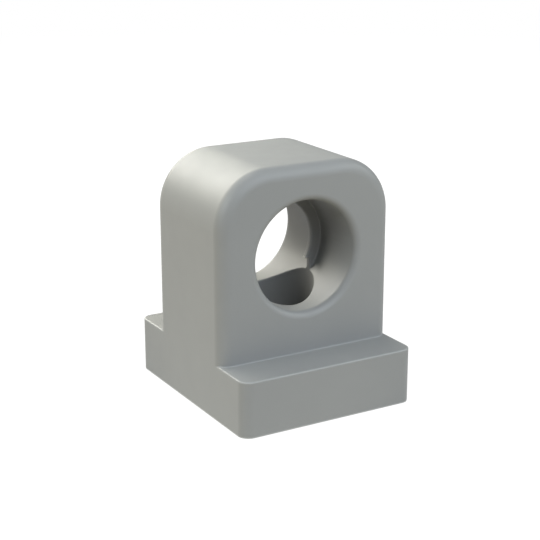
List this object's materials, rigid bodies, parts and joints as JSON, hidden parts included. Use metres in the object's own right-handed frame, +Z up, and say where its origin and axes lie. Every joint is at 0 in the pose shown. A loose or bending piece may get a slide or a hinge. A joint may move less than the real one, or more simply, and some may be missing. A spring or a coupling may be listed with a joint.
{
  "type": "conduit support",
  "caption": "Block that holds conduit ends in a cross bore with an inner stop ring, over a cable hole up through a stepped base; rounded shoulders.",
  "frame": {"origin": "middle of the underside of the base", "axes": "+Z up from the base, +Y along the conduit bore from front to rear, +X across the block"},
  "size_m": [0.0382, 0.0444, 0.0483],
  "materials": {
    "body": "satin moulded grey"
  },
  "bodies": {
    "root": {"support_body": "body"}
  },
  "joints": []
}
